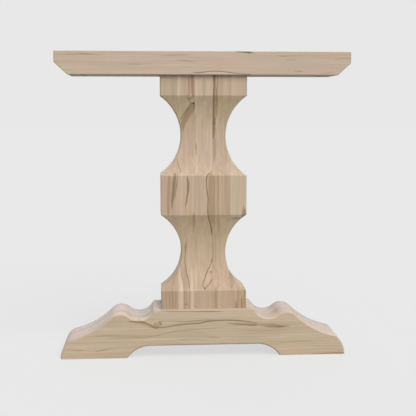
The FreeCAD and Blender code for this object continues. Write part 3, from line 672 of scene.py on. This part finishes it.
# boards of the foot, from front to back
footFrontBoard = {
    "node": "foot_front_board", "grain": "x", "seed": 12.9, "heart": (-90.0, 40.0),
    # the cooler tone of the upper surfaces is partly painted sky light
    "tone": (0.555, 0.449, 0.319), "skyTintedUpperTone": (0.545, 0.443, 0.362),
    "seams": [-footSeam], "glueLine": 1.5,
    "contrast": 1.4, "rings": 0.4, "blush": 0.3, "olive": 0.4, "sway": 2.0,
    # the lower edges are painted lighter: a painted highlight
    "edges": (0.97, 1.5), "edgeMarkDepth": 0.7,
    # the stripes are mostly painted shade in the dips, on the slopes and on the ledge before the column
    "stripes": [("footShadeTint", 1.0, -57.0, 22.0, -115.0, 115.0), ("rose", 0.6, -38.0, 40.0, -325.0, -235.0),
                ("rose", 0.6, -30.0, 26.0, 180.0, 214.0), ("footShadeTint", 0.85, -30.0, 28.0, 140.0, 178.0),
                ("brown", 0.85, -14.0, 26.0, 176.0, 182.0), ("brown", 0.5, -28.0, 6.0, -212.0, -165.0),
                ("mineral", 0.8, -27.0, 11.0, -145.0, -131.0)],
    "streaks": [
        # peach strips
        ("peach", 0.5, [(-100, 104.0, 3.8), (-34, 101.5, 6.0), (26, 100.5, 6.0), (100, 100.5, 4.4)]),
        ("peach", 0.55, [(150, 84.0, 2.4), (172, 90.0, 4.5), (193, 96.5, 5.4), (222, 94.0, 3.0)]),
        ("peach", 0.35, [(4, 59.5, 2.9), (28, 56.5, 6.2), (57, 56.0, 5.2), (86, 57.0, 2.4)]),
        # olive halo of the long dark line
        ("olive", 0.4, [(-182, 88.5, 1.2), (-165, 87.0, 3.2), (-150, 85.5, 4.6), (-135, 81.0, 4.6),
                        (-120, 76.0, 3.4), (-108, 75.0, 1.4)]),
        ("olive", 0.3, [(-96, 76.0, 1.6), (-68, 79.5, 3.2), (-40, 82.5, 3.6), (-10, 85.0, 4.0),
                        (14, 88.5, 3.6), (50, 88.5, 2.8), (86, 86.5, 2.4), (118, 82.0, 1.4)]),
        # long dark line and its neighbour
        ("mineral", 0.5, [(-178, 89.5, 0.7), (-165, 89.0, 1.9), (-153, 88.0, 2.8), (-142, 85.5, 2.1),
                          (-130, 80.5, 1.9), (-121, 75.0, 2.3), (-114, 73.0, 2.0), (-104, 73.0, 1.4),
                          (-87, 75.0, 1.2), (-68, 78.0, 1.2), (-48, 80.0, 1.2), (-29, 81.5, 1.4),
                          (-10, 83.0, 1.7), (4, 85.5, 1.9), (21, 88.0, 1.7), (43, 89.0, 1.4),
                          (67, 88.5, 1.4), (86, 87.0, 1.4), (106, 84.5, 1.2), (127, 81.5, 0.7)]),
        ("mineral", 0.35, [(-105, 88.5, 0.7), (-87, 89.0, 0.7), (-63, 88.0, 1.0), (-44, 87.5, 1.0),
                           (-20, 89.0, 1.2), (4, 90.5, 1.0), (24, 90.5, 0.5)]),
        # smudges right of the middle
        ("mineral", 0.42, [(57, 81.0, 0.8), (81, 79.0, 2.1), (103, 77.3, 2.9), (115, 76.3, 3.6),
                           (123, 76.3, 3.4), (128, 76.5, 1.0)]),
        ("brown", 0.3, [(124, 78.5, 2.0), (134, 78.0, 3.4), (146, 76.5, 2.0)]),
        ("olive", 0.4, [(136, 75.5, 2.0), (158, 74.5, 4.6), (180, 73.0, 4.6), (206, 72.5, 1.6)]),
        ("mineral", 0.35, [(142, 73.0, 0.8), (155, 72.2, 1.8), (168, 71.6, 2.6), (180, 71.2, 2.8),
                           (192, 71.3, 1.4), (201, 71.5, 0.4)]),
        ("brown", 0.42, [(148, 77.5, 0.8), (158, 77.0, 1.7), (170, 76.0, 2.1), (180, 75.0, 1.0)]),
        ("mineral", 0.5, [(177, 72.0, 0.5), (184, 71.0, 1.4), (194, 71.5, 0.7)]),
        # line under the ledge
        ("mineral", 0.55, [(-100, 114.0, 0.4), (-82, 113.0, 0.8), (-46, 112.0, 0.8), (2, 110.5, 1.1),
                           (33, 110.5, 0.7), (48, 111.0, 0.2)]),
        # faint lines of the left toe
        ("brown", 0.45, [(-261, 17.5, 0.5), (-247, 20.0, 1.2), (-235, 22.0, 1.4), (-218, 25.0, 0.5)]),
        ("brown", 0.35, [(-320, 23.0, 0.7), (-304, 21.5, 1.4), (-287, 20.0, 0.7), (-268, 18.0, 0.2)]),
        # lines below the long one
        ("olive", 0.35, [(-258, 54.5, 1.4), (-230, 56.0, 2.6), (-196, 53.5, 2.8), (-158, 51.0, 3.4),
                         (-125, 52.0, 1.6), (-106, 53.5, 0.7)]),
        ("brown", 0.3, [(-230, 50.0, 0.7), (-211, 50.0, 1.2), (-192, 50.0, 0.7)]),
        ("olive", 0.42, [(-140, 50.5, 0.6), (-118, 54.0, 1.2), (-96, 58.0, 1.6), (-72, 63.0, 1.8),
                         (-48, 66.0, 1.5), (-20, 67.5, 1.2), (14, 69.5, 0.7), (43, 71.0, 0.5)]),
        # line at the right pad
        ("mineral", 0.5, [(262, 2.5, 0.4), (282, 2.5, 1.0), (312, 2.5, 1.4), (341, 2.5, 1.7)]),
        # short brown lines
        ("brown", 0.35, [(9, 47.5, 0.5), (21, 47.0, 1.2), (38, 47.0, 0.5)]),
        ("brown", 0.3, [(101, 63.0, 0.7), (130, 60.5, 1.2), (164, 61.5, 1.2), (198, 62.5, 0.7)]),
        ("brown", 0.35, [(-63, 44.0, 0.5), (-49, 42.5, 1.2), (-29, 43.0, 0.7), (-10, 43.5, 0.2)]),
        ("brown", 0.3, [(184, 31.0, 0.5), (223, 33.0, 1.2), (262, 33.0, 0.7)]),
    ],
    "spots": [("brown", 0.5, -111.0, 80.0, 11.0, 8.0), ("mineral", 0.4, -118.0, 81.5, 3.0, 4.0),
              ("mineral", 0.75, -106.0, 86.0, 3.4, 3.0), ("mineral", 0.6, -103.0, 81.5, 2.2, 5.0)],
}
footMiddleBoard = {
    "node": "foot_middle_board", "grain": "x", "seed": 14.2, "heart": (200.0, 10.0),
    "tone": (0.52, 0.43, 0.34), "skyTintedUpperTone": (0.507, 0.429, 0.379),
    # the lower edges are painted lighter: a painted highlight
    "seams": [-footSeam, footSeam], "glueLine": 1.5, "contrast": 0.8, "edges": (0.92, 1.5),
    # the stripes are mostly painted shade in the dips and on the slopes
    "stripes": [("rose", 0.9, -15.0, 9.0, -190.0, -150.0), ("rose", 0.85, 10.0, 18.0, -325.0, -235.0),
                ("rose", 0.55, 0.0, 40.0, 140.0, 200.0), ("footShadeTint", 0.8, -19.0, 24.0, 140.0, 182.0),
                ("brown", 0.8, -14.0, 26.0, 174.0, 182.0), ("ash", 0.75, 0.0, 40.0, -162.0, -138.0)],
}
footBackBoard = {
    "node": "foot_back_board", "grain": "x", "seed": 15.6, "heart": (-100.0, -30.0),
    "tone": (0.515, 0.42, 0.31), "skyTintedUpperTone": (0.487, 0.413, 0.366), "seams": [footSeam], "glueLine": 1.5,
    # the lower edges are painted lighter: a painted highlight
    "contrast": 1.2, "rings": 0.4, "sway": 1.8, "edges": (0.92, 1.5),
    # the stripes are painted shade in the dips and along the back
    "stripes": [("ash", 0.55, 57.0, 20.0, -330.0, 330.0), ("ash", 0.65, 36.0, 40.0, -162.0, -138.0),
                ("ash", 0.6, 30.0, 40.0, 165.0, 182.0), ("brown", 0.4, 30.0, 40.0, 170.0, 182.0)],
}
columnBoards = (leftTopBlock, leftMiddleBlock, leftBottomBlock, leftStave, middleStave, rightStave,
                rightTopBlock, rightMiddleBlock, rightBottomBlock)
for board in (*columnBoards, topBar, footFrontBoard, footMiddleBoard, footBackBoard):
    mapleFinish(board)

# dowels, hidden in the joints
birch = {
    "tone": (0.62, 0.50, 0.36),
    "light": 1.06,  # shares of the tone
    "dark": 0.85,
    "lines": (1.2, 20.0, 2.0, 0.0),  # as the layers of maple
    "seed": 2.0,
    "roughness": 0.6,
    "relief": 0.1,
    "reliefStrength": 0.4,
}


def birchFinish(node):
    material, tree, shader = newFinish("dowel_birch")
    dowel = {"grain": "z", "seed": birch["seed"]}
    lines = grainNoise(tree, placeOnPiece(tree), dowel, birch["lines"])["Fac"]
    depth = spread(tree, lines, *noiseSpan, 0.0, 1.0)
    light, dark = (shaded(birch["tone"], birch[share]) for share in ("light", "dark"))
    tree.links.new(wash(tree, depth, light, dark), shader.inputs["Base Color"])
    shader.inputs["Roughness"].default_value = birch["roughness"]
    carve(tree, shader, lines, birch["reliefStrength"], birch["relief"])
    dress([node], material)
    print("birch laid on", node)


birchFinish("dowels")

# lag screws and washers, zinc plated
zinc = {
    "bright": (0.62, 0.62, 0.60),
    "dull": (0.42, 0.42, 0.41),
    "spangle": 2.2,  # size of a crystal in mm
    "spangleDepth": 0.4,
    "dirtScale": 160.0,
    "dirtDetail": 4.0,
    "dirtEdge": (0.4, 0.75),
    "roughness": (0.28, 0.5),
    "relief": 0.1,
    "reliefStrength": 0.25,
}


def zincFinish(nodes):
    material, tree, shader = newFinish("zinc_plate")
    place = placeOnPiece(tree)
    sockets = {"Vector": place, "Scale": mmPerMetre / zinc["spangle"]}
    spangle = splitColour(tree, wireUp(tree, "ShaderNodeTexVoronoi", sockets).outputs["Color"])[0]
    sockets = {"Vector": place, "Scale": zinc["dirtScale"], "Detail": zinc["dirtDetail"]}
    dirt = wireUp(tree, "ShaderNodeTexNoise", sockets).outputs["Fac"]
    dirty = fade(tree, dirt, *zinc["dirtEdge"])
    dulled = reckon(tree, "MULTIPLY_ADD", spangle, zinc["spangleDepth"], dirty)
    tree.links.new(wash(tree, dulled, zinc["bright"], zinc["dull"]), shader.inputs["Base Color"])
    tree.links.new(spread(tree, dirt, *noiseSpan, *zinc["roughness"]), shader.inputs["Roughness"])
    shader.inputs["Metallic"].default_value = 1.0
    carve(tree, shader, dirt, zinc["reliefStrength"], zinc["relief"])
    dress(nodes, material)
    print("zinc laid on", ", ".join(nodes))


zincFinish(["lag_screws", "washers"])

# floor and surroundings: the camera sees an even pale grey, the wood is lit by a dimmer floor
studio = {
    "backdrop": (0.807, 0.807, 0.807),
    "floorSeen": (0.69, 0.69, 0.69),
    "floorEven": 0.78,  # share that the camera sees without shading, so that the shadow stays light
    "floorBounce": (0.30, 0.29, 0.28),
    "floorHalf": 30.0,
    "floorGap": 0.0003,
    "skyTop": (0.45, 0.475, 0.53),
    "skyLow": (0.40, 0.42, 0.46),
    "skyRise": (0.0, 0.9),
    "lamps": {  # angles in degrees, turns counted from the front
        "key": {"level": 2.86, "colour": (1.0, 0.965, 0.91), "size": 46.0, "height": 50.0, "turn": 25.0},
        "fill": {"level": 1.05, "colour": (1.0, 0.97, 0.92), "size": 60.0, "height": 10.0, "turn": 192.0},
    },
}


def seenDirectly(tree):
    rays = wireUp(tree, "ShaderNodeLightPath", {}).outputs
    seen = reckon(tree, "MAXIMUM", rays["Is Camera Ray"], rays["Is Glossy Ray"])
    return reckon(tree, "MAXIMUM", seen, rays["Is Transmission Ray"])


def mixShaders(tree, share, first, second):
    return wireUp(tree, "ShaderNodeMixShader", {0: share, 1: first.outputs[0], 2: second.outputs[0]})


def floorFinish():
    material, tree, shader = newFinish("pale_floor")
    shader.inputs["Roughness"].default_value = 1.0
    shader.inputs["Specular IOR Level"].default_value = 0.0
    seen = seenDirectly(tree)
    colour = wash(tree, seen, studio["floorBounce"], studio["floorSeen"])
    tree.links.new(colour, shader.inputs["Base Color"])
    even = wireUp(tree, "ShaderNodeEmission", {"Color": opaque(studio["backdrop"])})
    mixed = mixShaders(tree, product(tree, seen, studio["floorEven"]), shader, even)
    # clear from below and to rays that start at the pads, so that the underside shows and isn't black
    below = wireUp(tree, "ShaderNodeNewGeometry", {}).outputs["Backfacing"]
    length = wireUp(tree, "ShaderNodeLightPath", {}).outputs["Ray Length"]
    below = reckon(tree, "MAXIMUM", below, reckon(tree, "LESS_THAN", length, 2.0 * studio["floorGap"]))
    mixed = mixShaders(tree, below, mixed, wireUp(tree, "ShaderNodeBsdfTransparent", {}))
    tree.links.new(mixed.outputs[0], tree.nodes["Material Output"].inputs["Surface"])
    return material


def layFloor():
    half, drop = studio["floorHalf"], -studio["floorGap"]
    mesh = bpy.data.meshes.new("floor")
    corners = [(-half, -half, drop), (half, -half, drop), (half, half, drop), (-half, half, drop)]
    mesh.from_pydata(corners, [], [(0, 1, 2, 3)])
    mesh.materials.append(floorFinish())
    floor = bpy.data.objects.new("floor", mesh)
    scene.collection.objects.link(floor)


def raiseSky():
    world = bpy.data.worlds.new("studio")
    world.use_nodes = True
    scene.world = world
    tree = world.node_tree
    height = split(tree, wireUp(tree, "ShaderNodeTexCoord", {}).outputs["Generated"])[upAxis]
    sky = wash(tree, fade(tree, height, *studio["skyRise"]), studio["skyLow"], studio["skyTop"])
    around = wash(tree, seenDirectly(tree), sky, studio["backdrop"])
    tree.links.new(around, tree.nodes["Background"].inputs["Color"])


def hangLamp(name, lamp):
    light = bpy.data.lights.new(name, "SUN")
    light.energy = lamp["level"]
    light.color = lamp["colour"]
    light.angle = math.radians(lamp["size"])
    height, turn = math.radians(lamp["height"]), math.radians(lamp["turn"])
    level = math.cos(height)
    source = Vector((math.sin(turn) * level, -math.cos(turn) * level, math.sin(height)))
    stand = bpy.data.objects.new(name, light)
    stand.rotation_euler = source.to_track_quat("Z", "Y").to_euler()
    scene.collection.objects.link(stand)


layFloor()
raiseSky()
for name, lamp in studio["lamps"].items():
    hangLamp(name, lamp)
print("floor and light set")

# camera: stands a little left of the middle and looks slightly down
view = {"place": (-0.12559, -2.01731, 0.58552), "pan": 3.93, "tilt": 6.54, "lens": 72.52, "sensor": 36.0}


def standCamera():
    lens = bpy.data.cameras.new("camera")
    lens.sensor_width = view["sensor"]
    lens.lens = view["lens"]
    pan, tilt = math.radians(view["pan"]), math.radians(view["tilt"])
    level = math.cos(tilt)
    aim = Vector((math.sin(pan) * level, math.cos(pan) * level, -math.sin(tilt)))
    camera = bpy.data.objects.new("camera", lens)
    camera.location = view["place"]
    camera.rotation_euler = aim.to_track_quat("-Z", "Y").to_euler()
    scene.collection.objects.link(camera)
    scene.camera = camera


standCamera()
print("camera set")
